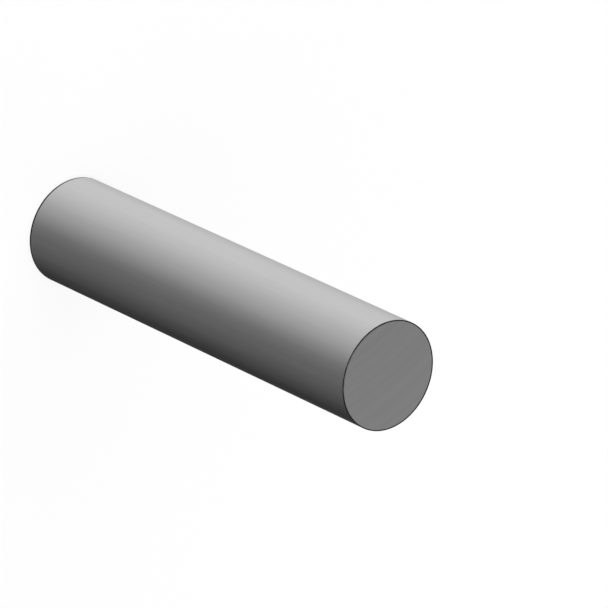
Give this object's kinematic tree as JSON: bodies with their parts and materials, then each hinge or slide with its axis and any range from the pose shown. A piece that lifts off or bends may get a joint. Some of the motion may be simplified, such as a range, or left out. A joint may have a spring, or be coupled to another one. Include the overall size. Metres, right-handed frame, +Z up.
{
  "type": "round metal bar",
  "caption": "Solid round bar of satin steel, sawn square to length, with flat ends and lightly filed edges; raw stock for shafts, pins and turned parts.",
  "frame": {"origin": "middle of the lower sawn face, on which the bar stands", "axes": "+Z up along the bar's centre line, from the lower sawn face to the upper one; X and Y are any two directions across it"},
  "size_m": [0.05, 0.05, 0.225],
  "materials": {
    "satin_steel": "satin, drawn surface with sawn ends"
  },
  "bodies": {
    "root": {"round_bar": "satin_steel"}
  },
  "joints": []
}
